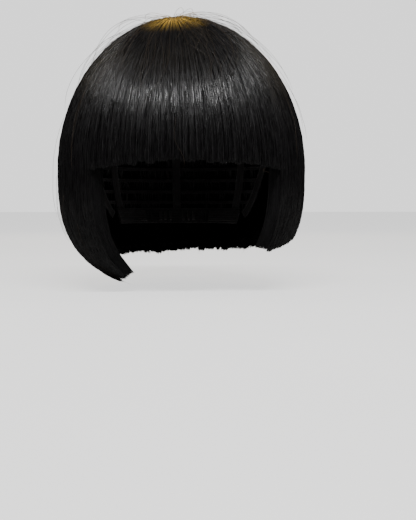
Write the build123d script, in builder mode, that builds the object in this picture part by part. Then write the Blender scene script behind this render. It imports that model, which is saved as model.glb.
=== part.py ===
from build123d import *
from math import atan2, cos, degrees, hypot, radians, sin, sqrt
import os

# A chin-length bob wig with a blunt fringe, on a sewn cap. Millimetres, +Z up, the face looks
# along -Y, and the wearer's left is +X. The origin is the centre of the head at the hatband.
# Bearings are plan angles from the face: 0 is the forehead, 90 the wearer's left ear.

# The head that the cap fits
HEAD_HALF_WIDTH = 75.0
HEAD_HALF_LENGTH = 93.0
HEAD_CROWN_Z = 83.0
HEAD_TAPER_RADIUS = 156.0  # of the arc by which the head narrows below the hatband
HEAD_CUT_Z = -66.0
HEAD_LENGTHENING = HEAD_HALF_LENGTH / HEAD_HALF_WIDTH

# Layers of the cap, as inner and outer distances from the head
STRAP_LAYER = (-1.6, -0.8)
NET_LAYER = (0.2, 0.9)
RIB_LAYER = (1.1, 1.8)
WEFT_LAYER = (2.0, 3.4)
HAIR_STANDOFF = 5.5

# The outline of the hair
HAIR_HALF_WIDTH = 98.0
HAIR_HALF_LENGTH = 114.0
HAIR_CENTRE_Y = 4.0
HAIR_TOP_Z = 100.0
HAIR_WIDEST_Z = -20.0
HAIR_TUCK_HEIGHT = 96.0  # from the widest level down to where the outside would close
LINING_TUCK_HEIGHT = 92.0  # the same for the inside of the hair
HAIR_CUT_Z = -110.5
HAIR_LENGTHENING = HAIR_HALF_LENGTH / HAIR_HALF_WIDTH
LINING_HALF_WIDTH = HEAD_HALF_WIDTH + HAIR_STANDOFF

# How the hair is divided
SWING_Z = 30.0  # above this the hair is sewn down, below it each section can lift
PARTING_GAP = 0.6
FRINGE_BEARING = 43.0
SIDE_BEARING = 112.0
FRINGE_CENTRE_Z = -16.0
FRINGE_END_Z = -21.0
# Hems of the other sections in side view, from the face backwards: the right side hangs longer
LEFT_SIDE_HEM = [(-65.0, -80.0), (-44.0, -80.0), (-19.0, -77.0), (8.0, -74.0), (34.0, -77.0)]
LEFT_BACK_HEM = [(34.0, -77.0), (69.0, -85.0), (85.0, -86.0)]
RIGHT_BACK_HEM = [(28.0, -96.0), (64.0, -90.0), (87.0, -88.0)]
RIGHT_SIDE_HEM = [(-49.0, -99.0), (-30.0, -100.5), (-12.0, -102.0), (4.0, -102.5), (28.0, -96.0)]
WHORL = (-7.5, -22.0)
WHORL_DIMPLE_RADIUS = 3.5

# Pieces of the cap
NET_EDGE_Z = 40.0
PATCH_RADIUS = 15.0
BAND_HEIGHT = 12.0
BINDING_WIDTH = 9.0
FRONT_BAND_BEARING = 69.0
BINDING_ROUTE = [(-24.0, 24.0), (4.0, 17.0), (28.0, -4.0), (39.0, -32.0), (45.0, -55.0)]
NAPE_BAND_Z = (-62.0, -50.0)
NAPE_BAND_BEARING = 134.5
TAB_CENTRE_Y = -38.0
TAB_WIDTH = 24.0
TAB_Z = (-14.0, 17.2)
TAB_CORNER_RADIUS = 9.0
STAY_WIDTH = 5.0
STAY_LENGTH = 24.0
RIB_WIDTH = 8.0
RIB_TOP_Z = 58.0
RIB_BEARINGS_AND_FEET = [
    (0.0, 30.5),
    (62.0, 30.5),
    (100.0, 4.0),
    (140.0, -49.0),
    (180.0, -49.5),
    (220.0, -49.0),
    (260.0, 4.0),
    (298.0, 30.5),
]
WEFT_HEIGHT = 3.0
CROWN_WEFT_LEVELS = [76.0, 69.0, 61.0, 52.0, 43.0, 34.0]
BACK_WEFT_LEVELS_AND_STARTS = [
    (23.0, 78.0),
    (13.0, 100.0),
    (3.0, 107.0),
    (-7.0, 112.0),
    (-17.0, 115.0),
    (-27.0, 118.0),
    (-37.0, 121.0),
    (-46.0, 124.0),
]

# Adjuster straps inside the nape
STRAP_Z = (-60.0, -52.0)
STRAP_BEARINGS = (133.0, 159.0)
HOOK_REACH = (17.8, 26.0)  # distances from the middle of the nape
HOOK_TONGUE = (4.4, 3.2)
HOOK_PLATE_SETBACK = 3.0  # of the plate behind the tip of the tongue
HOOK_CORNER_RADIUS = 1.2
HOOK_SLOT_WIDTH = 1.6
HOOK_SLOT_SHIFT = 1.9  # outward from the hook's middle
LOOP_OFFSETS = [5.5, 10.0, 14.5]
LOOP_WIDTH = 2.0
LOOP_LENGTH = 8.0
LOOP_DEPTH = 2.2
LOOP_THICKNESS = 0.6
LOOP_Z = -56.0
LOOP_CLEARANCE = 0.4

FAR = 160.0  # beyond the outside of the wig in any direction
SIDE_SPREAD = 65  # bearings each side of an ear, or of a rib, that hold all of its pieces
RIB_SPREAD = 10
NAPE_SPREAD = 30


def export(part, label):
    part.label = label
    export_step(part, f"parts/{label}.step")


def toward(bearing, reach):
    """The point in plan that lies so far along a bearing."""
    return reach * sin(radians(bearing)), -reach * cos(radians(bearing))


def stretched_bearing(bearing, lengthening):
    """The bearing that becomes this one once a round form is lengthened."""
    return degrees(atan2(sin(radians(bearing)), cos(radians(bearing)) / lengthening))


def cap_piece(layer, levels, bearings=(0, 360)):
    """A skin of the cap: one layer of the head's form between two levels and two bearings."""
    low, high = levels
    if bearings == (0, 360):
        start, turn = 0, 360
    else:
        start = stretched_bearing(bearings[0], HEAD_LENGTHENING)
        turn = (stretched_bearing(bearings[1], HEAD_LENGTHENING) - start) % 360
    outward = toward(start, 1)
    section = Plane((0, 0, 0), x_dir=(*outward, 0), z_dir=(outward[1], -outward[0], 0))
    centre_x = HEAD_HALF_WIDTH - HEAD_TAPER_RADIUS
    with BuildPart() as skin:
        with BuildSketch(section):
            for standoff, mode in ((layer[1], Mode.ADD), (layer[0], Mode.SUBTRACT)):
                half_width = HEAD_HALF_WIDTH + standoff
                foot_x = centre_x + sqrt((HEAD_TAPER_RADIUS + standoff) ** 2 - HEAD_CUT_Z**2)
                with BuildLine():
                    dome = EllipticalCenterArc(
                        (0, 0), half_width, HEAD_CROWN_Z + standoff, arc_size=90
                    )
                    TangentArc((half_width, 0), (foot_x, HEAD_CUT_Z), tangent=(0, -1))
                    Polyline((foot_x, HEAD_CUT_Z), (0, HEAD_CUT_Z), dome @ 1)
                make_face(mode=mode)
            with Locations((FAR / 2, (low + high) / 2)):
                Rectangle(FAR, high - low, mode=Mode.INTERSECT)
        revolve(axis=Axis.Z, revolution_arc=turn)
        scale(by=(1, HEAD_LENGTHENING, 1))
    return skin.part


def bob_form(half_width, top_z, shoulder_z, tuck_height, lengthening):
    """A solid with the wig's outline: a dome, upright from its shoulder to the widest level, then
    tucked in."""
    last_depth = (HAIR_WIDEST_Z - HAIR_CUT_Z) / tuck_height
    tuck = [
        (half_width * sqrt(1 - depth**3), HAIR_WIDEST_Z - depth * tuck_height)
        for depth in (0.25, 0.45, 0.62, 0.76, 0.87, last_depth)
    ]
    with BuildPart() as form:
        with BuildSketch(Plane.XZ):
            with BuildLine():
                dome = EllipticalCenterArc(
                    (0, shoulder_z), half_width, top_z - shoulder_z, arc_size=90
                )
                if shoulder_z > HAIR_WIDEST_Z:
                    Line((half_width, shoulder_z), (half_width, HAIR_WIDEST_Z))
                Spline((half_width, HAIR_WIDEST_Z), *tuck, tangents=[(0, -1), (-0.8, -0.6)])
                Polyline(tuck[-1], (0, HAIR_CUT_Z), dome @ 1)
            make_face()
        revolve(axis=Axis.Z)
        scale(by=(1, lengthening, 1))
    return form.part


def sector(start, end):
    """The plan area between two bearings, less half the parting gap on each side."""
    corners = [toward(start + (end - start) * share, 2 * FAR) for share in (0, 0.5, 1)]
    with BuildSketch() as plan:
        with BuildLine():
            Polyline((0, 0), *corners, close=True)
        make_face()
        offset(amount=-PARTING_GAP / 2, kind=Kind.INTERSECTION)
    return plan.sketch


def trimmed(stock, *outlines):
    """The part of a stock solid that lies behind all the outlines, each seen square on."""
    with BuildPart() as cut:
        add(stock)
        for outline in outlines:
            extrude(outline, amount=2 * FAR, both=True, mode=Mode.INTERSECT)
    return cut.part


def ribbon_outline(route, width):
    """The side view of a ribbon that follows a smooth route."""
    edges = ([], [])
    for index, (y, z) in enumerate(route):
        before_y, before_z = route[max(index - 1, 0)]
        after_y, after_z = route[min(index + 1, len(route) - 1)]
        run = hypot(after_y - before_y, after_z - before_z)
        across = (-(after_z - before_z) / run * width / 2, (after_y - before_y) / run * width / 2)
        edges[0].append((y + across[0], z + across[1]))
        edges[1].append((y - across[0], z - across[1]))
    with BuildSketch(Plane.YZ) as outline:
        with BuildLine():
            Spline(*edges[0])
            Spline(*edges[1])
            Line(edges[0][0], edges[1][0])
            Line(edges[0][-1], edges[1][-1])
        make_face()
    return outline.sketch


# The whole mass of hair, with the room inside it for the cap and the head
hair_outside = bob_form(
    HAIR_HALF_WIDTH, HAIR_TOP_Z, HAIR_WIDEST_Z, HAIR_TUCK_HEIGHT, HAIR_LENGTHENING
)
hair_hollow = bob_form(
    LINING_HALF_WIDTH, HEAD_CROWN_Z + HAIR_STANDOFF, 0, LINING_TUCK_HEIGHT, HEAD_LENGTHENING
)
with BuildPart() as hair_mass:
    add(hair_outside.moved(Location((0, HAIR_CENTRE_Y, 0))))
    add(hair_hollow, mode=Mode.SUBTRACT)

# Crown hair: everything above the level at which the sections swing, with the whorl's dimple
dome_share = hypot(WHORL[0] / HAIR_HALF_WIDTH, (WHORL[1] - HAIR_CENTRE_Y) / HAIR_HALF_LENGTH)
whorl_z = HAIR_WIDEST_Z + (HAIR_TOP_Z - HAIR_WIDEST_Z) * sqrt(1 - dome_share**2)
with BuildPart() as crown_hair:
    add(hair_mass.part)
    with Locations((0, 0, SWING_Z + PARTING_GAP / 2 + FAR)):
        Box(4 * FAR, 4 * FAR, 2 * FAR, mode=Mode.INTERSECT)
    with Locations((*WHORL, whorl_z)):
        Sphere(WHORL_DIMPLE_RADIUS, mode=Mode.SUBTRACT)
export(crown_hair.part, "crown_hair")

# Fringe: cut blunt in a shallow arc, a little longer at its ends
with BuildSketch(Plane.XZ) as fringe_outline:
    with BuildLine():
        ThreePointArc((-FAR / 2, FRINGE_END_Z), (0, FRINGE_CENTRE_Z), (FAR / 2, FRINGE_END_Z))
        Polyline(
            (FAR / 2, FRINGE_END_Z), (FAR / 2, SWING_Z), (-FAR / 2, SWING_Z), (-FAR / 2, FRINGE_END_Z)
        )
    make_face()
fringe_plan = sector(-FRINGE_BEARING, FRINGE_BEARING)
export(trimmed(hair_mass.part, fringe_plan, fringe_outline.sketch), "fringe_hair")


def hemline(hem):
    """The side view of hair that hangs to a hem, which runs on level beyond its two ends."""
    with BuildSketch(Plane.YZ) as outline:
        with BuildLine():
            Polyline(
                (-FAR, hem[0][1]),
                *hem,
                (FAR, hem[-1][1]),
                (FAR, SWING_Z),
                (-FAR, SWING_Z),
                close=True,
            )
        make_face()
    return outline.sketch


# Side and back hair
sections = [
    ("left_side_hair", FRINGE_BEARING, SIDE_BEARING, LEFT_SIDE_HEM),
    ("left_back_hair", SIDE_BEARING, 180.0, LEFT_BACK_HEM),
    ("right_back_hair", 180.0, 360.0 - SIDE_BEARING, RIGHT_BACK_HEM),
    ("right_side_hair", -SIDE_BEARING, -FRINGE_BEARING, RIGHT_SIDE_HEM),
]
for label, start, end, hem in sections:
    export(trimmed(hair_mass.part, sector(start, end), hemline(hem)), label)

# Crown net, and the patch at the whorl that its hair is knotted to
export(cap_piece(NET_LAYER, (NET_EDGE_Z, FAR)), "crown_net")
with BuildSketch() as patch_outline:
    with Locations(WHORL):
        Circle(PATCH_RADIUS)
export(trimmed(cap_piece(RIB_LAYER, (NET_EDGE_Z, FAR)), patch_outline.sketch), "crown_patch")

# Bands: the front one along the hairline, and one across the nape
front_levels = (SWING_Z - BAND_HEIGHT, SWING_Z)
front_band = cap_piece(NET_LAYER, front_levels, (-FRONT_BAND_BEARING, FRONT_BAND_BEARING))
export(front_band, "front_band")
nape_band = cap_piece(NET_LAYER, NAPE_BAND_Z, (NAPE_BAND_BEARING, 360 - NAPE_BAND_BEARING))
export(nape_band, "nape_band")

# Side bindings over and behind the ears, and the ear tabs with their stays
binding_outline = ribbon_outline(BINDING_ROUTE, BINDING_WIDTH)

tab_low, tab_high = TAB_Z
with BuildSketch(Plane.YZ) as tab_outline:
    with Locations((TAB_CENTRE_Y, (tab_low + tab_high) / 2)):
        Rectangle(TAB_WIDTH, tab_high - tab_low)
    fillet(tab_outline.vertices().group_by(Axis.Z)[0], TAB_CORNER_RADIUS)

with BuildSketch(Plane.YZ) as stay_outline:
    with Locations((TAB_CENTRE_Y, (tab_low + tab_high) / 2)):
        SlotOverall(STAY_LENGTH, STAY_WIDTH, rotation=90)

for side_name, middle_bearing in (("left", 90), ("right", 270)):
    bearings = (middle_bearing - SIDE_SPREAD, middle_bearing + SIDE_SPREAD)
    inner_side = cap_piece(NET_LAYER, (HEAD_CUT_Z, NET_EDGE_Z), bearings)
    outer_side = cap_piece(RIB_LAYER, (HEAD_CUT_Z, NET_EDGE_Z), bearings)
    export(trimmed(inner_side, binding_outline), f"{side_name}_side_binding")
    export(trimmed(inner_side, tab_outline.sketch), f"{side_name}_ear_tab")
    export(trimmed(outer_side, stay_outline.sketch), f"{side_name}_ear_tab_stay")

# Rib ribbons, each a strip along one bearing
for number, (bearing, foot_z) in enumerate(RIB_BEARINGS_AND_FEET, start=1):
    with BuildSketch() as strip:
        with Locations(Location(toward(bearing, FAR), bearing)):
            Rectangle(RIB_WIDTH, 2 * FAR)
    nearby = (bearing - RIB_SPREAD, bearing + RIB_SPREAD)
    sliver = cap_piece(RIB_LAYER, (foot_z, RIB_TOP_Z), nearby)
    export(trimmed(sliver, strip.sketch), f"rib_ribbon_{number}")

# Weft rows: closed rings round the crown, then rows from ear to ear behind
for number, level in enumerate(CROWN_WEFT_LEVELS, start=1):
    export(cap_piece(WEFT_LAYER, (level, level + WEFT_HEIGHT)), f"crown_weft_{number}")
for number, (level, start) in enumerate(BACK_WEFT_LEVELS_AND_STARTS, start=1):
    row = cap_piece(WEFT_LAYER, (level, level + WEFT_HEIGHT), (start, 360 - start))
    export(row, f"back_weft_{number}")

# Adjuster straps, each with a flat hook on its end
strap_start, strap_end = STRAP_BEARINGS
strap_middle = sum(STRAP_Z) / 2
strap_width = STRAP_Z[1] - STRAP_Z[0]
hook_inner, hook_outer = HOOK_REACH
hook_middle = (hook_inner + hook_outer) / 2
tongue_length = HOOK_TONGUE[0]
plate_length = hook_outer - hook_inner - HOOK_PLATE_SETBACK
for side_name, side_sign in (("left", 1), ("right", -1)):
    strap_bearings = sorted((side_sign * strap_start % 360, side_sign * strap_end % 360))
    strap = cap_piece(STRAP_LAYER, STRAP_Z, tuple(strap_bearings))
    export(strap, f"{side_name}_adjuster_strap")

    with BuildSketch(Plane.XZ) as hook_outline:
        with Locations((side_sign * (hook_outer - plate_length / 2), strap_middle)):
            RectangleRounded(plate_length, strap_width + 1, HOOK_CORNER_RADIUS)
        with Locations((side_sign * (hook_inner + tongue_length / 2), strap_middle)):
            SlotOverall(*HOOK_TONGUE)
        with Locations((side_sign * (hook_middle + HOOK_SLOT_SHIFT), strap_middle)):
            Rectangle(HOOK_SLOT_WIDTH, strap_width - 2, mode=Mode.SUBTRACT)
    hook_stock = cap_piece(STRAP_LAYER, (HEAD_CUT_Z, 0), (180 - NAPE_SPREAD, 180 + NAPE_SPREAD))
    export(trimmed(hook_stock, hook_outline.sketch), f"{side_name}_strap_hook")

# Strap loops: flat staples on the inner face of the nape band, square to its slope
taper_slope = -LOOP_Z / sqrt(HEAD_TAPER_RADIUS**2 - LOOP_Z**2) * HEAD_LENGTHENING
taper_half_width = HEAD_HALF_WIDTH - HEAD_TAPER_RADIUS + sqrt(HEAD_TAPER_RADIUS**2 - LOOP_Z**2)
for side_name, side_sign in (("left", 1), ("right", -1)):
    with BuildPart() as strap_loops:
        for offset_x in LOOP_OFFSETS:
            wall_y = HEAD_LENGTHENING * sqrt(taper_half_width**2 - offset_x**2)
            loop_y = wall_y - LOOP_DEPTH / 2 - LOOP_CLEARANCE
            centre = (side_sign * offset_x - LOOP_WIDTH / 2, loop_y, LOOP_Z)
            tilted = Plane(centre, x_dir=(0, taper_slope, 1), z_dir=(1, 0, 0))
            with BuildSketch(tilted):
                Rectangle(LOOP_LENGTH, LOOP_DEPTH)
                Rectangle(
                    LOOP_LENGTH - 2 * LOOP_THICKNESS,
                    LOOP_DEPTH - 2 * LOOP_THICKNESS,
                    mode=Mode.SUBTRACT,
                )
            extrude(amount=LOOP_WIDTH)
    export(strap_loops.part, f"{side_name}_strap_loops")
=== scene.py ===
"""A glossy black chin-length bob wig with a blunt fringe, on its sewn cap.

The hair is built strand by strand. Every strand leaves the whorl on the crown, runs down the
outline that the CAD solids give, and ends at its section's hem. The cap inside is cloth: a net,
elastic bands, ribbons and stitched wefts.
"""

import math

import bpy
import numpy as np
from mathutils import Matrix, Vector


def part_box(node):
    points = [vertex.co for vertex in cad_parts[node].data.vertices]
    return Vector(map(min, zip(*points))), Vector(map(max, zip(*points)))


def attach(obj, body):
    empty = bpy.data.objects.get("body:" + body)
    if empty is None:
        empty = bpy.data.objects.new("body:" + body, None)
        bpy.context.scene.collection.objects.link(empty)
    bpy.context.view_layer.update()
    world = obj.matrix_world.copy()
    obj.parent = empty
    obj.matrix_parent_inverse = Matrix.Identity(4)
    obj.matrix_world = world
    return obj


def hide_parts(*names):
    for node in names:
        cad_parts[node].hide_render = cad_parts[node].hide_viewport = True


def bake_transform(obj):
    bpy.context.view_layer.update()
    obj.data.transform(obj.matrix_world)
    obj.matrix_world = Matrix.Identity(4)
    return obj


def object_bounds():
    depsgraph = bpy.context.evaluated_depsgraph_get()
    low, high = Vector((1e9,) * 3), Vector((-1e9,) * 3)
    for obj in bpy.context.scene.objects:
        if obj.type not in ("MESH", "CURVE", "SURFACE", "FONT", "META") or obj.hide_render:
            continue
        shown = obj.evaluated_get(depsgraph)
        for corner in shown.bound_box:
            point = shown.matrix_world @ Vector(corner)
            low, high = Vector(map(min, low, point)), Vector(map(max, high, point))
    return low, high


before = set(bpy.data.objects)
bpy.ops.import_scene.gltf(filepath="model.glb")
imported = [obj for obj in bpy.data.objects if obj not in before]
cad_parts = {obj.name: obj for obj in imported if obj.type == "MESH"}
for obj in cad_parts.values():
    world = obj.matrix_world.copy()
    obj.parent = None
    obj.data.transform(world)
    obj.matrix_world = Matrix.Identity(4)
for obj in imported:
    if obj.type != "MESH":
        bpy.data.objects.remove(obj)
cad_low, cad_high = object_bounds()
MM = 0.001

# ---------------------------------------------------------------- sizes, from the frame
HALF_WIDTH = (cad_high.x - cad_low.x) / 2
HALF_LENGTH = (cad_high.y - cad_low.y) / 2
CENTRE_Y = (cad_high.y + cad_low.y) / 2
TOP_Z = cad_high.z
WIDEST_Z = -20 * MM
DOME_HEIGHT = TOP_Z - WIDEST_Z
DOME_RUN = math.pi / 4 * (HALF_WIDTH + DOME_HEIGHT)  # from the crown to the widest level
TUCK_HEIGHT = 96 * MM

# The room inside the hair
LINING_HALF_WIDTH = 80.5 * MM
LINING_TOP_Z = 88.5 * MM
LINING_TUCK_HEIGHT = 92 * MM
LENGTHENING = 1.24  # of the head and the lining, front to back

# The head that the cap follows
HEAD_HALF_WIDTH = 75 * MM
HEAD_TOP_Z = 83 * MM
HEAD_TAPER_RADIUS = 156 * MM
HEAD_RUN = 130 * MM  # the drop below the hatband that counts as one unit of travel

patch_low, patch_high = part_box("crown_patch")
WHORL = np.array([(patch_low.x + patch_high.x) / 2, (patch_low.y + patch_high.y) / 2])
WHORL_SHARE = np.array([WHORL[0] / HALF_WIDTH, (WHORL[1] - CENTRE_Y) / HALF_LENGTH])
PATCH_RADIUS = (patch_high.x - patch_low.x) / 2
SWING_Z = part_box("fringe_hair")[1].z

# Sections of hair: first and last bearing in degrees, and the hem's level at evenly spaced
# bearings between them. Bearing 0 is the middle of the fringe and 90 the wearer's left ear.
SECTIONS = {
    "fringe": (-46.0, 46.0, [-21, -18, -16.5, -16, -16.5, -18, -21]),
    "left_side": (46.0, 107.3, [-80, -76, -72, -69, -73]),
    "left_back": (107.3, 180.0, [-73, -84, -86, -86]),
    "right_back": (180.0, 252.7, [-88, -88, -90, -96]),
    "right_side": (252.7, 314.0, [-96, -102, -105, -104, -102, -99]),
}
DENSITY = 1.0
TIP_START = 0.992  # the share of a strand's length at which its cut tip begins
SECTION_OVERLAP = np.radians(0.5)  # how far cover strands cross into the next section
EDGE_MARGIN = np.radians(0.4)
MASS_MARGIN = np.radians(0.1)
LOCK_WIDTH = 6.5 * MM
STRANDS_PER_PIECE = 1650
FLYAWAY_WIDTH = 0.24 * MM

# The painted highlight at the whorl: a warm gold glint painted into the fibre colour, fading out from a
# point just in front of the whorl
PAINTED_GLINT_COLOUR = (1.0, 0.62, 0.10)
GLINT_FORWARD = 14 * MM
GLINT_BELOW_TOP = 4 * MM
GLINT_FULL = 3 * MM
GLINT_REACH = 30 * MM
GLINT_FALLOFF = 1.7


# ---------------------------------------------------------------- surfaces that hair and cap follow
def travel_to(level):
    """How far down the hair a level is: 0 at the crown, 1 at the widest level, more below."""
    dome = np.arccos(np.clip((level - WIDEST_Z) / DOME_HEIGHT, 0, 1)) * 2 / np.pi
    return np.where(level > WIDEST_Z, dome, 1 + (WIDEST_Z - level) / DOME_RUN)


def hair_point(bearing, travel, inset=0.0, share=0.0):
    """Points in the mass of hair. inset is a distance in from the outside, and share is a part of
    the way from the outside to the lining."""
    bearing, travel = np.broadcast_arrays(bearing, travel)
    reach = np.sin(np.clip(travel, 0, 1) * np.pi / 2)
    lean = (1 - reach) ** 1.5
    across = reach * np.sin(bearing) + WHORL_SHARE[0] * lean
    along = -reach * np.cos(bearing) + WHORL_SHARE[1] * lean
    drop = np.clip(travel - 1, 0, None) * DOME_RUN
    tuck = np.sqrt(np.clip(1 - (drop / TUCK_HEIGHT) ** 3, 0.03, 1))
    rise = np.sqrt(np.clip(1 - across**2 - along**2, 0, 1))
    z = WIDEST_Z + DOME_HEIGHT * rise - drop
    outside = np.stack(
        [HALF_WIDTH * across * tuck, CENTRE_Y + HALF_LENGTH * along * tuck, z], axis=-1
    )
    inner_z = np.where(
        drop > 0, z, WIDEST_Z + (LINING_TOP_Z - WIDEST_Z) * (z - WIDEST_Z) / DOME_HEIGHT
    )
    dome = np.sqrt(np.clip(1 - (np.clip(inner_z, 0, None) / LINING_TOP_Z) ** 2, 0, 1))
    hem = np.sqrt(np.clip(1 - (drop / LINING_TUCK_HEIGHT) ** 3, 0.02, 1))
    radius = LINING_HALF_WIDTH * dome * hem
    span = np.maximum(np.hypot(across, along), 1e-6)
    inside = np.stack(
        [radius * across / span, LENGTHENING * radius * along / span, inner_z], axis=-1
    )
    inward = inside - outside
    depth = np.maximum(np.linalg.norm(inward, axis=-1), 1e-6)
    part = np.asarray(share) + np.asarray(inset) / depth
    return outside + inward * part[..., None]


def head_travel(level):
    """How far down the cap a level is: 0 at the crown, 1 at the hatband, more below."""
    dome = np.arccos(np.clip(level / HEAD_TOP_Z, 0, 1)) * 2 / np.pi
    return np.where(level > 0, dome, 1 - level / HEAD_RUN)


def head_point(bearing, travel, standoff):
    """Points of the cap, a standoff outside the head."""
    bearing, travel, standoff = np.broadcast_arrays(bearing, travel, standoff)
    angle = np.clip(travel, 0, 1) * np.pi / 2
    drop = np.clip(travel - 1, 0, None) * HEAD_RUN
    taper_radius = HEAD_TAPER_RADIUS + standoff
    tapered = HEAD_HALF_WIDTH - HEAD_TAPER_RADIUS + np.sqrt(taper_radius**2 - drop**2)
    radius = np.where(drop > 0, tapered, (HEAD_HALF_WIDTH + standoff) * np.sin(angle))
    z = (HEAD_TOP_Z + standoff) * np.cos(angle) - drop
    return np.stack(
        [radius * np.sin(bearing), -LENGTHENING * radius * np.cos(bearing), z], axis=-1
    )


def run_of(route):
    """The distance run at each point of a route."""
    steps = np.linalg.norm(np.diff(route, axis=0), axis=1)
    return np.concatenate([[0], np.cumsum(steps)])


def waves(rng, count, points, octaves=((1.0, 1.0), (2.6, 0.45))):
    """Smooth random curves, one for each strand, from -1 to 1."""
    along = np.linspace(0, 1, points)
    total = np.zeros((count, points))
    for rate, size in octaves:
        phase = rng.uniform(0, 2 * np.pi, (count, 1))
        turns = rate * rng.uniform(0.7, 1.3, (count, 1))
        total += size * np.sin(2 * np.pi * turns * along + phase)
    return total / sum(size for _, size in octaves)


# ---------------------------------------------------------------- meshes
class Soup:
    """Vertices and faces gathered from many tubes and shells, made into one piece."""

    def __init__(self):
        self.points, self.quads, self.triangles, self.count = [], [], [], 0

    def add(self, points, quads, triangles=()):
        points = np.asarray(points, float).reshape(-1, 3)
        self.points.append(points)
        self.quads.append(np.asarray(quads, np.int64).reshape(-1, 4) + self.count)
        self.triangles.append(np.asarray(triangles, np.int64).reshape(-1, 3) + self.count)
        self.count += len(points)

    def tubes(self, paths, widths, centre=(0.0, 0.0, 0.0), flatness=0.6, sides=3, closed=False):
        """Closed tubes along paths of shape (strands, points, 3), with a width at each point."""
        paths = np.asarray(paths, float)
        strands, points, _ = paths.shape
        widths = np.broadcast_to(widths, (strands, points))
        if closed:
            ahead, behind = np.roll(paths, -1, axis=1), np.roll(paths, 1, axis=1)
            along = ahead - behind
        else:
            along = np.gradient(paths, axis=1)
        along /= np.maximum(np.linalg.norm(along, axis=2, keepdims=True), 1e-12)
        out = paths - np.asarray(centre)
        out -= (out * along).sum(2, keepdims=True) * along
        out /= np.maximum(np.linalg.norm(out, axis=2, keepdims=True), 1e-12)
        aside = np.cross(along, out)
        angles = np.arange(sides) * 2 * np.pi / sides + np.pi / 2
        ring = [
            paths + (np.cos(a) * aside + np.sin(a) * flatness * out) * widths[..., None] / 2
            for a in angles
        ]
        vertices = np.stack(ring, axis=2).reshape(-1, 3)
        steps = points if closed else points - 1
        strand, step, side = np.meshgrid(
            np.arange(strands), np.arange(steps), np.arange(sides), indexing="ij"
        )
        here = (strand * points + step) * sides
        there = (strand * points + (step + 1) % points) * sides
        beside = (side + 1) % sides
        quads = np.stack([here + side, here + beside, there + beside, there + side], axis=-1)
        caps = []
        if not closed:
            first = np.arange(strands) * points * sides
            last = first + (points - 1) * sides
            for corner in range(1, sides - 1):
                caps.append(np.stack([first, first + corner + 1, first + corner], axis=-1))
                caps.append(np.stack([last, last + corner, last + corner + 1], axis=-1))
            caps = np.concatenate(caps)
        self.add(vertices, quads.reshape(-1, 4), caps)

    def shell(self, outer, inner, closed=False):
        """A closed sheet between two grids of points, of shape (across, along, 3). A closed one
        joins its last column to its first."""
        rows, columns, _ = outer.shape
        size = rows * columns
        row, column = np.meshgrid(np.arange(rows - 1), np.arange(columns), indexing="ij")
        if not closed:
            row, column = row[:, :-1], column[:, :-1]
        beside = (column + 1) % columns
        face = np.stack(
            [row * columns + column, row * columns + beside,
             (row + 1) * columns + beside, (row + 1) * columns + column], axis=-1
        ).reshape(-1, 4)
        quads = [face, face[:, ::-1] + size]
        first, last = np.arange(columns), (rows - 1) * columns + np.arange(columns)
        ends = [(last, False), (first, True)]
        if not closed:
            left, right = np.arange(rows) * columns, np.arange(rows) * columns + columns - 1
            ends += [(left, False), (right, True)]
        for line, flipped in ends:
            ahead = np.roll(line, -1) if closed else line[1:]
            behind = line if closed else line[:-1]
            rim = np.stack([behind, ahead, ahead + size, behind + size], axis=-1)
            quads.append(rim[:, ::-1] if flipped else rim)
        self.add(np.concatenate([outer.reshape(-1, 3), inner.reshape(-1, 3)]), np.concatenate(quads))

    def piece(self, name, material):
        points = np.concatenate(self.points)
        quads, triangles = np.concatenate(self.quads), np.concatenate(self.triangles)
        mesh = bpy.data.meshes.new(name)
        mesh.vertices.add(len(points))
        mesh.vertices.foreach_set("co", points.ravel())
        mesh.loops.add(quads.size + triangles.size)
        corners = np.concatenate([quads.ravel(), triangles.ravel()])
        mesh.loops.foreach_set("vertex_index", corners.astype(np.int32))
        sizes = np.concatenate([np.full(len(quads), 4), np.full(len(triangles), 3)])
        mesh.polygons.add(len(sizes))
        starts = np.concatenate([[0], np.cumsum(sizes)[:-1]])
        mesh.polygons.foreach_set("loop_start", starts.astype(np.int32))
        mesh.update(calc_edges=True)
        mesh.validate()
        mesh.polygons.foreach_set("use_smooth", np.ones(len(sizes), bool))
        mesh.materials.append(material)
        obj = bpy.data.objects.new(name, mesh)
        bpy.context.scene.collection.objects.link(obj)
        return obj


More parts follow.
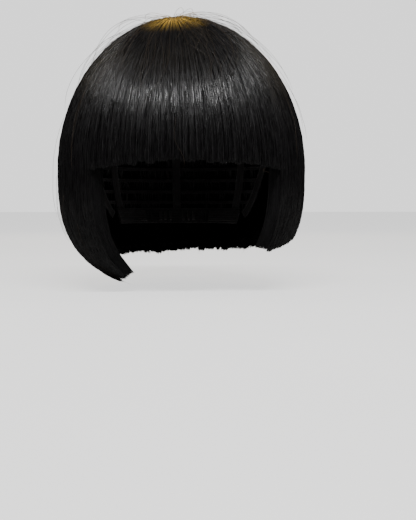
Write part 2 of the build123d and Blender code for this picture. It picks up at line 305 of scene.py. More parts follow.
# ---------------------------------------------------------------- materials
class Nodes:
    """A small helper that adds and joins the nodes of one Principled material."""

    def __init__(self, name, **plain):
        self.material = bpy.data.materials.new(name)
        self.material.use_nodes = True
        self.tree = self.material.node_tree
        self.shader = next(n for n in self.tree.nodes if n.type == "BSDF_PRINCIPLED")
        for socket, value in plain.items():
            self.shader.inputs[socket.replace("_", " ")].default_value = value
        self.place = self.add("ShaderNodeTexCoord").outputs["Object"]

    def add(self, kind, **settings):
        node = self.tree.nodes.new(kind)
        for key, value in settings.items():
            setattr(node, key, value)
        return node

    def join(self, source, target):
        self.tree.links.new(source, target)

    def stretched(self, scale):
        node = self.add("ShaderNodeMapping")
        node.inputs["Scale"].default_value = scale
        self.join(self.place, node.inputs["Vector"])
        return node.outputs["Vector"]

    def noise(self, scale, stretch=(1, 1, 1), detail=3.0):
        node = self.add("ShaderNodeTexNoise")
        node.inputs["Scale"].default_value = scale
        node.inputs["Detail"].default_value = detail
        self.join(self.stretched(stretch), node.inputs["Vector"])
        return node.outputs["Fac"]

    def wave(self, scale, direction="Z", distortion=0.0):
        node = self.add("ShaderNodeTexWave", bands_direction=direction)
        node.inputs["Scale"].default_value = scale
        node.inputs["Distortion"].default_value = distortion
        self.join(self.place, node.inputs["Vector"])
        return node.outputs["Fac"]

    def ramp(self, value, low, high, start=0.3, end=0.7):
        node = self.add("ShaderNodeValToRGB")
        node.color_ramp.elements[0].position = start
        node.color_ramp.elements[1].position = end
        node.color_ramp.elements[0].color = (*low, 1)
        node.color_ramp.elements[1].color = (*high, 1)
        self.join(value, node.inputs["Fac"])
        return node.outputs["Color"]

    def range(self, value, low, high, start=0.0, end=1.0):
        node = self.add("ShaderNodeMapRange")
        for socket, number in zip(("From Min", "From Max", "To Min", "To Max"), (start, end, low, high)):
            node.inputs[socket].default_value = number
        self.join(value, node.inputs["Value"])
        return node.outputs["Result"]

    def mix(self, factor, a, b):
        node = self.add("ShaderNodeMix", data_type="RGBA")
        self.join(factor, node.inputs["Factor"])
        self.join(a, node.inputs[6])
        if isinstance(b, tuple):
            node.inputs[7].default_value = (*b, 1)
        else:
            self.join(b, node.inputs[7])
        return node.outputs[2]

    def distance(self, point):
        node = self.add("ShaderNodeVectorMath", operation="DISTANCE")
        node.inputs[1].default_value = point
        self.join(self.place, node.inputs[0])
        return node.outputs["Value"]

    def rays(self, centre, scale):
        """Noise that runs out from a point in plan, as the strands do."""
        parts = self.add("ShaderNodeSeparateXYZ")
        self.join(self.place, parts.inputs[0])
        turn = self.add("ShaderNodeMath", operation="ARCTAN2")
        for axis in (0, 1):
            shift = self.add("ShaderNodeMath", operation="SUBTRACT")
            shift.inputs[1].default_value = centre[axis]
            self.join(parts.outputs[axis], shift.inputs[0])
            self.join(shift.outputs[0], turn.inputs[axis])
        node = self.add("ShaderNodeTexNoise", noise_dimensions="1D")
        node.inputs["Scale"].default_value = scale
        self.join(turn.outputs[0], node.inputs["W"])
        return node.outputs["Fac"]

    def bump(self, height, strength, distance):
        node = self.add("ShaderNodeBump")
        node.inputs["Strength"].default_value = strength
        node.inputs["Distance"].default_value = distance
        self.join(height, node.inputs["Height"])
        self.join(node.outputs["Normal"], self.shader.inputs["Normal"])

    def colour(self, source):
        self.join(source, self.shader.inputs["Base Color"])

    def rough(self, source):
        self.join(source, self.shader.inputs["Roughness"])


def hair_material(name, dark, light, roughness, gloss):
    """Synthetic fibre: near-black, glossy and duller strands side by side, with a painted gold highlight
    round the whorl.
    """
    nodes = Nodes(name, Specular_IOR_Level=gloss)
    streaks = nodes.noise(1300, (1, 1, 0.02))
    base = nodes.ramp(streaks, dark, light, 0.35, 0.7)
    # Painted highlight: gold mixed into the base colour near the whorl, in streaks that run out from it,
    # standing in for a warm lamp's glint
    glint_centre = (WHORL[0], WHORL[1] - GLINT_FORWARD, TOP_Z - GLINT_BELOW_TOP)
    near = nodes.range(nodes.distance(glint_centre), 1.0, 0.0, GLINT_FULL, GLINT_REACH)
    glint_streaks = nodes.range(nodes.rays(WHORL, 30), 0.06, 1.0, 0.44, 0.62)
    fading = nodes.add("ShaderNodeMath", operation="POWER")
    fading.inputs[1].default_value = GLINT_FALLOFF
    nodes.join(near, fading.inputs[0])
    painted_glint = nodes.add("ShaderNodeMath", operation="MULTIPLY")
    nodes.join(fading.outputs[0], painted_glint.inputs[0])
    nodes.join(glint_streaks, painted_glint.inputs[1])
    nodes.colour(nodes.mix(painted_glint.outputs[0], base, PAINTED_GLINT_COLOUR))
    nodes.rough(nodes.range(nodes.rays(WHORL, 75), roughness - 0.06, roughness + 0.26, 0.38, 0.62))
    return nodes.material


def cloth_material(name, dark, light, pitch, sheen=0.25, relief=0.12):
    """Woven or knitted cloth: crossed threads, a little uneven, with a soft sheen."""
    nodes = Nodes(name, Sheen_Weight=sheen, Sheen_Roughness=0.5, Specular_IOR_Level=0.25)
    warp = nodes.wave(pitch, "Z", 0.4)
    weft = nodes.wave(pitch, "DIAGONAL", 0.4)
    crossing = nodes.add("ShaderNodeMath", operation="MAXIMUM")
    nodes.join(warp, crossing.inputs[0])
    nodes.join(weft, crossing.inputs[1])
    uneven = nodes.noise(90, detail=4)
    nodes.colour(nodes.mix(uneven, nodes.ramp(crossing.outputs[0], dark, light), dark))
    nodes.rough(nodes.range(uneven, 0.65, 0.95))
    nodes.bump(crossing.outputs[0], relief, 0.3 * MM)
    return nodes.material


def plastic_material(name, dark, light, roughness):
    """Moulded plastic with a faint grain and small scuffs."""
    nodes = Nodes(name, Specular_IOR_Level=0.45)
    grain = nodes.noise(900, detail=5)
    nodes.colour(nodes.ramp(nodes.noise(160), dark, light))
    nodes.rough(nodes.range(grain, roughness - 0.06, roughness + 0.14))
    nodes.bump(grain, 0.08, 0.1 * MM)
    return nodes.material


STRAND = hair_material("fibre_strand", (0.0012, 0.0011, 0.0014), (0.0045, 0.0038, 0.0042), 0.21, 0.30)
UNDER = hair_material("fibre_under", (0.0014, 0.0013, 0.0016), (0.0045, 0.004, 0.0045), 0.38, 0.25)
MASS = hair_material("fibre_mass", (0.0018, 0.0017, 0.002), (0.005, 0.0045, 0.005), 0.5, 0.15)
FLYAWAY = hair_material("fibre_flyaway", (0.014, 0.010, 0.007), (0.04, 0.026, 0.015), 0.35, 0.3)
NET = cloth_material("cap_net", (0.010, 0.009, 0.009), (0.035, 0.032, 0.031), 520)
ELASTIC = cloth_material("elastic", (0.012, 0.011, 0.012), (0.045, 0.042, 0.043), 380)
RIBBON = cloth_material("ribbon", (0.014, 0.013, 0.014), (0.06, 0.056, 0.058), 460, 0.4)
THREAD = cloth_material("thread", (0.02, 0.019, 0.02), (0.09, 0.085, 0.088), 900, 0.3)
WEFT = cloth_material("weft_stitching", (0.008, 0.007, 0.008), (0.03, 0.027, 0.028), 640, 0.3)
PATCH = cloth_material("crown_patch", (0.20, 0.12, 0.045), (0.42, 0.27, 0.12), 420, 0.4)
HOOK = plastic_material("hook_plastic", (0.012, 0.012, 0.013), (0.03, 0.03, 0.032), 0.28)
STAY = plastic_material("stay_plastic", (0.09, 0.09, 0.095), (0.16, 0.16, 0.17), 0.45)


# ---------------------------------------------------------------- hair
def hems(section, bearing):
    """The hem's level below each bearing of a section."""
    first, last, levels = SECTIONS[section]
    stops = np.radians(np.linspace(first, last, len(levels)))
    return np.interp(bearing, stops, np.array(levels) * MM)


def span(section):
    """A section's first and last bearing, in radians."""
    first, last, _ = SECTIONS[section]
    return math.radians(first), math.radians(last)


def locks(rng, section, lock_width):
    """Centres of the locks that a section's strands gather into, unevenly spaced."""
    first, last, _ = SECTIONS[section]
    run = math.radians(last - first) * (HALF_WIDTH + HALF_LENGTH) / 2
    count = max(4, int(run / lock_width))
    steps = np.cumsum(rng.uniform(0.5, 1.5, count + 1))
    return np.radians(first) + np.radians(last - first) * (steps[:-1] - steps[0] / 2) / steps[-1]


def cover_strands(section, seed, count, points=20):
    """The outer layer: strands from the whorl to the hem, gathered into locks."""
    rng = np.random.default_rng(seed)
    first, last = span(section)
    first, last = first - SECTION_OVERLAP, last + SECTION_OVERLAP
    root = first + (last - first) * (np.arange(count) + rng.uniform(0, 1, count)) / count
    centres = locks(rng, section, LOCK_WIDTH)
    lock = np.abs(root[:, None] - centres[None]).argmin(1)
    half_lock = (last - first) / len(centres) / 2
    lock_depth = rng.uniform(0, 0.8 * MM, len(centres))[lock]
    lock_drop = rng.normal(0, 0.6 * MM, len(centres))[lock]
    tip = hems(section, root) + lock_drop + rng.normal(0, 0.6 * MM, count)
    short = rng.random(count) < 0.05
    tip = np.where(short, tip + rng.uniform(2, 14, count) * MM, tip)
    share = np.append(np.linspace(0, TIP_START, points - 1) ** 0.92, 1)
    start = rng.uniform(0.015, 0.10, count)
    start = np.where(rng.random(count) < 0.35, rng.uniform(0.1, 0.5, count), start)
    travel = start[:, None] + (travel_to(tip) - start)[:, None] * share
    from_edge = np.minimum(root - first, last - root)[:, None]
    off_centre = (root - centres[lock])[:, None] * np.clip(from_edge / np.radians(4), 0, 1)
    gather = 0.15 * np.sin(np.clip(travel, 0, 1) * np.pi) + 0.16 * share**4
    bearing = root[:, None] - off_centre * gather
    lock_sway = waves(rng, len(centres), points)[lock] * np.radians(0.55)
    sway = waves(rng, count, points, ((1.3, 1.0), (3.1, 0.5))) * np.radians(0.5)
    bearing = bearing + (lock_sway + sway) * np.clip(travel, 0.1, 1)
    round_off = np.clip(np.abs(off_centre) / half_lock, 0, 1.4) ** 2 * 0.4 * MM
    layer = rng.uniform(0, 1, count)[:, None] ** 1.4 * 1.7 * MM
    ripple = waves(rng, count, points, ((2.0, 1.0), (5.0, 1.0))) * 0.5 * MM
    inset = layer + lock_depth[:, None] + round_off + ripple + 0.45 * MM
    inset = inset * np.clip(travel * 4, 0.35, 1)
    spread = np.clip(0.22 + 1.5 * np.sin(np.clip(travel, 0, 1) * np.pi / 2), 0, 1)
    taper = np.where(share < 1, 1.0, 0.5)
    size = rng.uniform(0.38, 0.62, count)[:, None] * MM
    return hair_point(bearing, travel, inset), size * spread * taper


def under_strands(section, seed, count, points=12):
    """Shorter strands at every depth, from the weft rows down, seen at the hem and from inside."""
    rng = np.random.default_rng(seed)
    first, last = span(section)
    root = rng.uniform(first + EDGE_MARGIN, last - EDGE_MARGIN, count)
    on_edge = rng.random(count) < 0.22
    side = np.where(rng.random(count) < 0.5, first + EDGE_MARGIN, last - EDGE_MARGIN)
    root = np.where(on_edge, side + rng.normal(0, 0.25, count) * EDGE_MARGIN, root)
    depth = rng.uniform(0.12, 0.97, count)
    tip = hems(section, root) + rng.exponential(1.4 * MM, count) + depth * 2.0 * MM
    top = rng.uniform(0.55, 0.80, count) if section == "fringe" else rng.uniform(0.62, 0.95, count)
    share = np.append(np.linspace(0, TIP_START, points - 1), 1)
    travel = top[:, None] + (travel_to(tip) - top)[:, None] * share
    sway = waves(rng, count, points) * np.radians(0.7)
    inward = depth[:, None] * (0.75 + 0.25 * share) + waves(rng, count, points) * 0.02
    size = rng.uniform(0.45, 0.75, count)[:, None] * MM * np.where(share < 1, 1.0, 0.5)
    return hair_point(root[:, None] + sway, travel, 0.0, inward), size


def hair_mass(section, seed, across=170, along=46):
    """The dense body of a section, grooved like combed fibre outside and in, closed all round."""
    rng = np.random.default_rng(seed)
    first, last = span(section)
    bearing = np.linspace(first + MASS_MARGIN, last - MASS_MARGIN, across)
    groove = np.repeat(rng.normal(0, 1, across // 2 + 1), 2)[:across] + rng.normal(0, 0.6, across)
    groove = np.convolve(groove, [0.25, 0.5, 0.25], mode="same")
    hem = hems(section, bearing) + 4.2 * MM + np.abs(groove) * 0.9 * MM
    share = np.linspace(0, 1, along)[:, None]
    top = 0.03
    travel = top + (travel_to(hem)[None] - top) * share
    sway = waves(rng, 1, along)[0][:, None] * np.radians(0.3)
    ridge = groove[None] * 0.28 * MM * np.clip(travel * 2, 0.1, 1)
    edge = np.minimum(np.arange(across), np.arange(across)[::-1]) / (across * 0.03)
    rounding = (1 - np.clip(edge, 0, 1)) ** 2
    lean = sway * (1 - rounding)
    outer = hair_point(bearing + lean, travel, 2.3 * MM + ridge + rounding * 0.4 * MM)
    inner_share = 0.96 - rounding[None] * 0.12 - np.abs(ridge) / (9 * MM)
    inner = hair_point(bearing + lean, travel, 0.0, inner_share)
    soup = Soup()
    soup.shell(outer[::-1], inner[::-1])
    return soup


def hair_section(section, seed, cover, under):
    """All the hair of one section, in place of its CAD part."""
    made = {
        f"{section}_mass": (hair_mass(section, seed), MASS),
        f"{section}_under_strands": (Soup(), UNDER),
    }
    paths, widths = under_strands(section, seed + 1, int(under * DENSITY))
    made[f"{section}_under_strands"][0].tubes(paths, widths, flatness=0.45)
    paths, widths = cover_strands(section, seed + 2, int(cover * DENSITY))
    share = int(math.ceil(len(paths) / STRANDS_PER_PIECE))
    for number in range(share):
        soup = Soup()
        soup.tubes(paths[number::share], widths[number::share])
        made[f"{section}_strands_{number + 1}"] = (soup, STRAND)
    for name, (soup, material) in made.items():
        piece = soup.piece(name, material)
        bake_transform(piece)
        if name.endswith("mass"):
            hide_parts(f"{section}_hair")


hair_section("fringe", 100, cover=3000, under=1500)
hair_section("left_side", 200, cover=2100, under=1600)
hair_section("left_back", 300, cover=2100, under=1500)
hair_section("right_back", 400, cover=2100, under=1500)
hair_section("right_side", 500, cover=2100, under=1650)


def crown_base():
    """The sewn roots under the crown hair: a grooved dome over the cap, open at the whorl."""
    rng = np.random.default_rng(21)
    across, along = 300, 26
    bearing = np.linspace(0, 2 * np.pi, across, endpoint=False)
    groove = np.convolve(np.tile(rng.normal(0, 1, across), 3), [0.3, 0.4, 0.3], mode="same")
    ridge = groove[across : 2 * across] * 0.25 * MM
    travel = np.linspace(0.045, float(travel_to(SWING_Z + 0.5 * MM)), along)[:, None]
    outer = hair_point(bearing, travel, 0.0, 0.72 + ridge / (9 * MM) * np.clip(travel * 3, 0, 1))
    inner = hair_point(bearing, travel, 0.0, np.full_like(travel, 0.97))
    soup = Soup()
    soup.shell(outer[::-1], inner[::-1], closed=True)
    piece = soup.piece("crown_roots", MASS)
    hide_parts("crown_hair")
    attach(piece, "cap")


crown_base()


def flyaways(section, seed, over_crown, lower):
    """Single thin hairs: long loose ones over the crown, and short ones along the outline."""
    rng = np.random.default_rng(seed)
    first, last, _ = SECTIONS[section]
    points = 18
    share = np.linspace(0, 1, points)
    count = over_crown + lower
    crown = (np.arange(count) < over_crown)[:, None]
    root = np.radians(rng.uniform(first + 2, last - 2, (count, 1)))
    start = np.where(crown, rng.uniform(0.02, 0.30, (count, 1)), rng.uniform(0.5, 1.3, (count, 1)))
    length = np.where(crown, rng.uniform(0.18, 0.60, (count, 1)), rng.uniform(0.12, 0.45, (count, 1)))
    end = np.minimum(start + length, travel_to(hems(section, root)) + 0.03)
    travel = start + (end - start) * share
    rise = np.clip(rng.gamma(2.0, 3.2 * MM, (count, 1)), 0, 12 * MM)
    rise = np.where(crown, rise, rise * 0.3)
    lift = -rise * np.sin(share * np.pi * rng.uniform(0.55, 0.95, (count, 1)))
    lift += waves(rng, count, points) * 0.7 * MM * share
    sway = waves(rng, count, points, ((0.5, 1.0), (1.3, 0.3))) * share
    sway *= np.radians(np.where(crown, 10, 4))
    widths = FLYAWAY_WIDTH * np.clip((1 - share) / 0.1, 0.4, 1)
    soup = Soup()
    soup.tubes(hair_point(root + sway, travel, lift), widths, flatness=1.0)
    piece = soup.piece(f"{section}_flyaways", FLYAWAY)
    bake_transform(piece)


flyaways("fringe", 71, over_crown=44, lower=2)
flyaways("left_side", 72, over_crown=16, lower=5)
flyaways("left_back", 73, over_crown=14, lower=6)
flyaways("right_back", 74, over_crown=14, lower=6)
flyaways("right_side", 75, over_crown=16, lower=8)


# ---------------------------------------------------------------- the cap
def cap_band(soup, bearing, travel, layer, ribs=0, rib_height=0.12 * MM, closed=False):
    """Cloth between two standoffs, over grids of bearings and travels of shape (across, along),
    with ribs along its length and edges that thin out."""
    rows = bearing.shape[0]
    across = np.linspace(0, 1, rows)[:, None]
    thin = np.clip(np.minimum(across, 1 - across) * rows / 2, 0.35, 1)
    relief = rib_height * np.cos(2 * np.pi * ribs * across) if ribs else 0.0
    middle = sum(layer) / 2
    half = (layer[1] - layer[0]) / 2
    outer = head_point(bearing, travel, middle + half * thin + relief)
    inner = head_point(bearing, travel, middle - half * thin - relief)
    soup.shell(outer[::-1], inner[::-1], closed=closed)


def level_grid(first, last, low, high, rows, columns):
    """Bearings and travels of a band between two levels, as seen in plan between two bearings."""
    plan = np.radians(np.linspace(first, last, columns))
    bearing = np.unwrap(np.arctan2(np.sin(plan) * LENGTHENING, np.cos(plan)))
    travel = head_travel(np.linspace(low, high, rows)[:, None])
    return np.broadcast_arrays(bearing[None], travel)


def stitch_row(soup, bearing, travel, standoff, pitch, swing, thread=0.32 * MM):
    """A zigzag of thread laid along a route over the cap."""
    route = head_point(bearing, travel, standoff)
    run = run_of(route)
    count = max(8, int(run[-1] / pitch) * 4)
    at = np.linspace(0, run[-1], count)
    phase = np.arange(count) * np.pi / 2
    here_bearing = np.interp(at, run, bearing)
    here_travel = np.interp(at, run, travel) + np.sin(phase) * swing / HEAD_RUN
    dip = np.where(np.arange(count) % 2 == 0, 0.0, 0.15 * MM)
    soup.tubes(head_point(here_bearing, here_travel, standoff + dip)[None], thread, flatness=0.8)


NET_LAYER = (0.2 * MM, 0.9 * MM)
RIB_LAYER = (1.1 * MM, 1.8 * MM)
WEFT_LAYER = (2.0 * MM, 3.4 * MM)
STRAP_LAYER = (-1.6 * MM, -0.8 * MM)
PIPING = 0.85 * MM
NET_TURNS = 44
NET_START = 0.10
NET_TWIST = 1.1
BACK_WEFT_BEARINGS = (78, 100, 107, 112, 115, 118, 121, 124)


def finished(soup, name, material, body, slot, *nodes):
    """A piece that rides a body, in place of any CAD nodes given. Its slot is not used."""
    piece = soup.piece(name, material)
    if nodes:
        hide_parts(*nodes)
    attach(piece, body)
    return piece


def crown_net():
    """A stretched dome of fine cloth, with the net's diagonal cords knitted on its inner face."""
    edge = float(head_travel(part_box("crown_net")[0].z))
    bearing = np.linspace(0, 2 * np.pi, 120, endpoint=False)[None]
    travel = np.linspace(0.012, edge, 40)[:, None]
    soup = Soup()
    cap_band(soup, *np.broadcast_arrays(bearing, travel), (0.45 * MM, 0.85 * MM), closed=True)
    cloth = finished(soup, "crown_net_cloth", NET, "cap", "net", "crown_net")

    cords = Soup()
    run = np.linspace(NET_START, edge, 30)[None]
    for way in (1, -1):
        start = np.linspace(0, 2 * np.pi, NET_TURNS, endpoint=False)[:, None]
        twist = way * NET_TWIST * (run - NET_START) / edge
        cords.tubes(head_point(start + twist, run, 0.35 * MM), 0.5 * MM, flatness=0.7)
    rim = np.linspace(0, 2 * np.pi, 160, endpoint=False)
    for level in (edge, edge * 0.985):
        cords.tubes(head_point(rim, level, 0.5 * MM)[None], 0.9 * MM, closed=True, sides=6)
    knit = finished(cords, "crown_net_cords", THREAD, "cap", "net")
    arc = np.linspace(0, edge, 60)
    width = 2 * run_of(head_point(np.pi / 2, arc, 0.65 * MM))[-1]
    length = 2 * run_of(head_point(0.0, arc, 0.65 * MM))[-1]


def band(name, node, first, last, body="cap", layer=NET_LAYER, ribs=5, columns=120):
    """An elastic band between two bearings, at its node's levels, with piped and stitched edges."""
    low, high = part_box(node)
    soup = Soup()
    grid = level_grid(first, last, high.z, low.z, 26, columns)
    cap_band(soup, *grid, layer, ribs=ribs)
    finished(soup, name, ELASTIC, body, "elastic", node)
    trim = Soup()
    middle = sum(layer) / 2
    for level in (high.z - 1.1 * MM, low.z + 1.1 * MM):
        bearing, travel = (g[0] for g in level_grid(first, last, level, level, 2, columns))
        stitch_row(trim, bearing, travel, layer[0] - 0.12 * MM, 2.6 * MM, 0.7 * MM)
    for level in (high.z, low.z):
        bearing, travel = (g[0] for g in level_grid(first, last, level, level, 2, columns))
        route = head_point(bearing, travel, middle)
        trim.tubes(route[None], PIPING, flatness=1.0, sides=6)
    finished(trim, f"{name}_trim", THREAD, body, "elastic")


def side_binding(side, sign):
    """The elastic edge that runs over and behind one ear."""
    route = np.array([(-24, 24), (4, 17), (28, -4), (39, -32), (45, -55)]) * MM
    knots = np.linspace(0, 1, len(route))
    at = np.linspace(0, 1, 90)
    coefficients = [np.polyfit(knots, route[:, axis], 4) for axis in (0, 1)]
    y, z = (np.polyval(c, at) for c in coefficients)
    normal = np.stack([-np.gradient(z), np.gradient(y)])
    normal /= np.linalg.norm(normal, axis=0)
    across = np.linspace(4.5, -4.5, 20)[:, None] * MM
    band_y, band_z = y + across * normal[0], z + across * normal[1]
    travel = head_travel(band_z)
    radius = np.linalg.norm(head_point(0.0, travel, 0.5 * MM)[..., :2], axis=-1) / LENGTHENING
    bearing = np.arccos(np.clip(-band_y / (LENGTHENING * radius), -1, 1)) * sign
    if sign < 0:
        bearing, travel = bearing[:, ::-1], travel[:, ::-1]
    soup = Soup()
    cap_band(soup, bearing, travel, NET_LAYER, ribs=4)
    name = f"{side}_side_binding"
    finished(soup, f"{name}_elastic", ELASTIC, "cap", "elastic", name)
    trim = Soup()
    for row in (2, -3):
        stitch_row(trim, bearing[row], travel[row], NET_LAYER[0] - 0.12 * MM, 2.6 * MM, 0.6 * MM)
    for row in (0, -1):
        route = head_point(bearing[row], travel[row], 0.55 * MM)
        trim.tubes(route[None], PIPING, flatness=1.0, sides=6)
    finished(trim, f"{name}_trim", THREAD, "cap", "elastic")


def side_bearing(y, travel, sign):
    """The bearing on one side of the head at a place along it."""
    radius = np.abs(head_point(0.0, travel, 0.5 * MM)[..., 1]) / LENGTHENING
    return np.arccos(np.clip(-y / (LENGTHENING * radius), -1, 1)) * sign


def ear_tab(side, sign):
    """A round-cornered cloth tab with a bound edge and two rows of stitching beside its stay."""
    low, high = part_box(f"{side}_ear_tab")
    middle_y, half_width = (low.y + high.y) / 2, (high.y - low.y) / 2
    corner = 9 * MM
    level = np.linspace(high.z, low.z, 40)[:, None]
    drop = np.clip(low.z + corner - level, 0, corner)
    half = half_width - corner + np.sqrt(np.clip(corner**2 - drop**2, 0, None))
    half = np.maximum(half, 0.5 * MM)
    y = middle_y + half * np.linspace(-1, 1, 26)[None] * sign
    travel = np.broadcast_to(head_travel(level), y.shape)
    bearing = side_bearing(y, travel, sign)
    soup = Soup()
    cap_band(soup, bearing, travel, NET_LAYER)
    name = f"{side}_ear_tab"
    cloth = finished(soup, f"{name}_cloth", ELASTIC, name, "elastic", name)
    trim = Soup()
    rim_bearing = np.concatenate([bearing[:, 0], bearing[-1, 1:-1], bearing[::-1, -1]])
    rim_travel = np.concatenate([travel[:, 0], travel[-1, 1:-1], travel[::-1, -1]])
    trim.tubes(head_point(rim_bearing, rim_travel, 0.55 * MM)[None], 1.1 * MM, flatness=0.9, sides=6)
    stay_low, stay_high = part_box(f"{side}_ear_tab_stay")
    for shift in (-4, 4):
        levels = np.linspace(stay_high.z + 1 * MM, stay_low.z - 1 * MM, 30)
        run = head_travel(levels)
        beside = side_bearing(np.full(30, middle_y + shift * MM), run, sign)
        stitch_row(trim, beside, run, NET_LAYER[0] - 0.1 * MM, 2.2 * MM, 0.0, 0.3 * MM)
    edging = finished(trim, f"{name}_trim", THREAD, name, "elastic")


RIB_BEARINGS = (0, 62, 100, 140, 180, 220, 260, 298)
RIB_HALF_WIDTH = 3.9 * MM
RIB_END_FACTOR = 1.12  # the head curves less at the front and back, and more at the sides
RIB_SIDE_FACTOR = 0.92


def ribs():
    """The ribbons that join the net to the bands, each with two rows of stitching."""
    for number, rib_bearing in enumerate(RIB_BEARINGS, start=1):
        node = f"rib_ribbon_{number}"
        low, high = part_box(node)
        plan = math.radians(rib_bearing)
        centre = math.atan2(math.sin(plan) * LENGTHENING, math.cos(plan))
        travel = head_travel(np.linspace(high.z, low.z, 50))
        reach = np.linalg.norm(head_point(centre, travel, 1.4 * MM)[:, :2], axis=1)
        factor = RIB_END_FACTOR if abs(math.cos(plan)) > 0.5 else RIB_SIDE_FACTOR
        half = RIB_HALF_WIDTH / reach * factor
        across = np.linspace(-1, 1, 14)[:, None]
        grid = np.broadcast_arrays(centre + across[::-1] * half[None], travel[None])
        soup = Soup()
        cap_band(soup, *grid, RIB_LAYER, ribs=3, rib_height=0.06 * MM)
        finished(soup, f"{node}_cloth", RIBBON, "cap", "webbing", node)
        seam = Soup()
        for row in (1, -2):
            stitch_row(seam, grid[0][row], grid[1][row], 0.95 * MM, 2.4 * MM, 0.0, 0.28 * MM)
        finished(seam, f"{node}_seams", THREAD, "cap", "webbing")


def weft_row(node, first, last, seed, closed):
    """One stitched row: folded fibre bound by two locked threads, with a fringe of short roots."""
    low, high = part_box(node)
    columns = 220
    plan = np.radians(np.linspace(first, last, columns, endpoint=not closed))
    bearing = np.unwrap(np.arctan2(np.sin(plan) * LENGTHENING, np.cos(plan)))
    travel = head_travel(np.linspace(high.z, low.z, 8)[:, None])
    soup = Soup()
    thick = (WEFT_LAYER[0] + 0.1 * MM, WEFT_LAYER[1] - 0.3 * MM)
    cap_band(soup, *np.broadcast_arrays(bearing[None], travel), thick, closed=closed)
    rng = np.random.default_rng(seed)
    count = int(260 * (last - first) / 360)
    at = np.sort(rng.uniform(bearing[0], bearing[-1], count))[:, None]
    fall = np.linspace(0, 1, 6)[None]
    run = head_travel(low.z) + fall * rng.uniform(4, 7, (count, 1)) * MM / HEAD_RUN
    lift = 2.4 * MM + fall * 1.3 * MM
    sway = fall * rng.normal(0, 0.015, (count, 1))
    soup.tubes(head_point(at + sway, run, lift), 0.55 * MM * (1 - 0.5 * fall), flatness=0.7)
    finished(soup, f"{node}_fold", WEFT, "cap", "weft", node)
    thread = Soup()
    for share in (0.3, 0.72):
        level = head_travel(high.z + (low.z - high.z) * share)
        stitch_row(thread, bearing, np.full(columns, float(level)), 1.95 * MM, 2.0 * MM, 0.45 * MM)
    finished(thread, f"{node}_threads", THREAD, "cap", "weft")


def wefts():
    """Six closed rows round the crown, and eight from ear to ear round the back."""
    for number in range(1, 7):
        weft_row(f"crown_weft_{number}", 0, 360, 600 + number, closed=True)
    for number, start in enumerate(BACK_WEFT_BEARINGS, start=1):
        weft_row(f"back_weft_{number}", start, 360 - start, 700 + number, closed=False)


def crown_patch():
    """The round patch at the whorl, with its spiral of stitching."""
    rings, columns = 14, 72
    radius = np.linspace(0.6 * MM, PATCH_RADIUS, rings)[:, None]
    around = np.linspace(0, 2 * np.pi, columns, endpoint=False)[None]
    x = WHORL[0] + radius * np.sin(around)
    y = WHORL[1] - radius * np.cos(around)

    def on_cap(x, y, standoff):
        share = (x / (HEAD_HALF_WIDTH + standoff)) ** 2
        share = share + (y / (LENGTHENING * (HEAD_HALF_WIDTH + standoff))) ** 2
        return np.stack([x, y, (HEAD_TOP_Z + standoff) * np.sqrt(1 - share)], axis=-1)

    soup = Soup()
    soup.shell(on_cap(x, y, RIB_LAYER[1]), on_cap(x, y, RIB_LAYER[0]), closed=True)
    cloth = finished(soup, "crown_patch_cloth", PATCH, "cap", "patch", "crown_patch")
    turn = np.linspace(0, 5 * 2 * np.pi, 360)
    reach = PATCH_RADIUS * (0.1 + 0.86 * turn / turn[-1])
    spiral = on_cap(WHORL[0] + reach * np.sin(turn), WHORL[1] - reach * np.cos(turn), 1.95 * MM)
    seam = Soup()
    seam.tubes(spiral[None], 0.5 * MM, flatness=0.8)
    stitching = finished(seam, "crown_patch_stitching", THREAD, "cap", "patch")


def paint(node, material):
    """Gives a CAD node that keeps its shape its material."""
    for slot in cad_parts[node].material_slots:
        slot.material = material


def straps():
    """The elastic adjuster straps, with piping, and the materials of the small CAD parts."""
    for side, sign in (("left", 1), ("right", -1)):
        first, last = (133, 159) if sign > 0 else (-159, -133)
        band(f"{side}_strap_elastic", f"{side}_adjuster_strap", first, last,
             body=f"{side}_strap", layer=STRAP_LAYER, ribs=4, columns=60)
        paint(f"{side}_strap_loops", RIBBON)
        paint(f"{side}_strap_hook", HOOK)
        paint(f"{side}_ear_tab_stay", STAY)


crown_net()
band("front_band_elastic", "front_band", -69, 69)
band("nape_band_elastic", "nape_band", 134.5, 225.5)
for side_name, side_sign in (("left", 1), ("right", -1)):
    side_binding(side_name, side_sign)
    ear_tab(side_name, side_sign)
ribs()
wefts()
crown_patch()
straps()


# ---------------------------------------------------------------- floor, light and camera
FLOOR_GAP = 9 * MM
FLOOR_SIZE = 12
FLOOR_GLOW = 1.15  # to the camera only
WORLD_LIGHT = 0.16
WORLD_SEEN = 1.5  # to the camera only
RIM_COLOUR = (1.0, 0.85, 0.6)
EDGE_COLOUR = (1.0, 0.84, 0.6)
CAMERA_DISTANCE = 0.75
CAMERA_AZIMUTH = math.radians(-4.5)
CAMERA_ELEVATION = math.radians(3.5)
CAMERA_TARGET = Vector((0.021, 0.0, -0.0905))


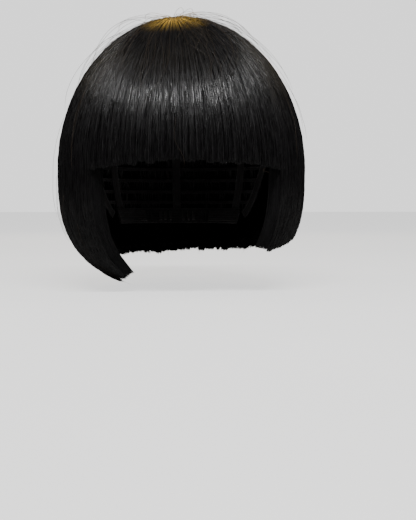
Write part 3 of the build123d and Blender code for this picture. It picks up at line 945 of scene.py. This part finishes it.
def studio():
    """A pale floor and background, shown brighter to the camera than they light the hair."""
    world = bpy.data.worlds.new("studio")
    bpy.context.scene.world = world
    world.use_nodes = True
    background = world.node_tree.nodes["Background"]
    background.inputs["Color"].default_value = (1.0, 1.0, 1.0, 1)
    seen = world.node_tree.nodes.new("ShaderNodeLightPath")
    level = world.node_tree.nodes.new("ShaderNodeMapRange")
    level.inputs["To Min"].default_value = WORLD_LIGHT
    level.inputs["To Max"].default_value = WORLD_SEEN
    world.node_tree.links.new(seen.outputs["Is Camera Ray"], level.inputs["Value"])
    world.node_tree.links.new(level.outputs["Result"], background.inputs["Strength"])

    bpy.ops.mesh.primitive_plane_add(size=FLOOR_SIZE, location=(0, 0, cad_low.z - FLOOR_GAP))
    floor = bpy.context.object
    floor.name = "floor"
    nodes = Nodes("floor_paint", Roughness=0.9, Emission_Color=(1, 1, 1, 1))
    nodes.colour(nodes.ramp(nodes.noise(3), (0.32, 0.32, 0.32), (0.36, 0.36, 0.36)))
    seen = nodes.add("ShaderNodeLightPath").outputs["Is Camera Ray"]
    nodes.join(nodes.range(seen, 0.0, FLOOR_GLOW), nodes.shader.inputs["Emission Strength"])
    floor.data.materials.append(nodes.material)


def area_light(name, place, target, size, energy, colour=(1, 1, 1)):
    """A rectangular lamp at a place, turned to a target."""
    light = bpy.data.lights.new(name, "AREA")
    light.shape = "RECTANGLE"
    light.size, light.size_y = size
    light.energy, light.color = energy, colour
    obj = bpy.data.objects.new(name, light)
    obj.location = place
    obj.rotation_mode = "QUATERNION"
    direction = Vector(target) - Vector(place)
    obj.rotation_quaternion = direction.to_track_quat("-Z", "Y")
    bpy.context.scene.collection.objects.link(obj)


def camera():
    """Level with the face, a little to the wearer's right, aimed below the hair."""
    level = math.cos(CAMERA_ELEVATION)
    back = Vector(
        (math.sin(CAMERA_AZIMUTH) * level, -math.cos(CAMERA_AZIMUTH) * level,
         math.sin(CAMERA_ELEVATION))
    )
    data = bpy.data.cameras.new("camera")
    data.sensor_width = 36
    data.lens = 65
    data.clip_start = 0.01
    obj = bpy.data.objects.new("camera", data)
    obj.location = CAMERA_TARGET + back * CAMERA_DISTANCE
    obj.rotation_mode = "QUATERNION"
    obj.rotation_quaternion = (-back).to_track_quat("-Z", "Y")
    bpy.context.scene.collection.objects.link(obj)
    bpy.context.scene.camera = obj


studio()
area_light("key", (0.02, -0.80, 0.95), (0, -0.05, 0.04), (1.0, 0.12), 27)
area_light("rim_left", (-0.7, 0.1, 0.9), (0, 0, 0.03), (0.5, 0.6), 1.6, RIM_COLOUR)
area_light("crown_edge", (0.0, 1.3, 0.45), (0, 0, 0.08), (0.5, 0.1), 2.5, EDGE_COLOUR)
area_light("rim_right", (0.8, 0.1, 0.9), (0, 0, 0.03), (0.5, 0.6), 1.6, RIM_COLOUR)
camera()
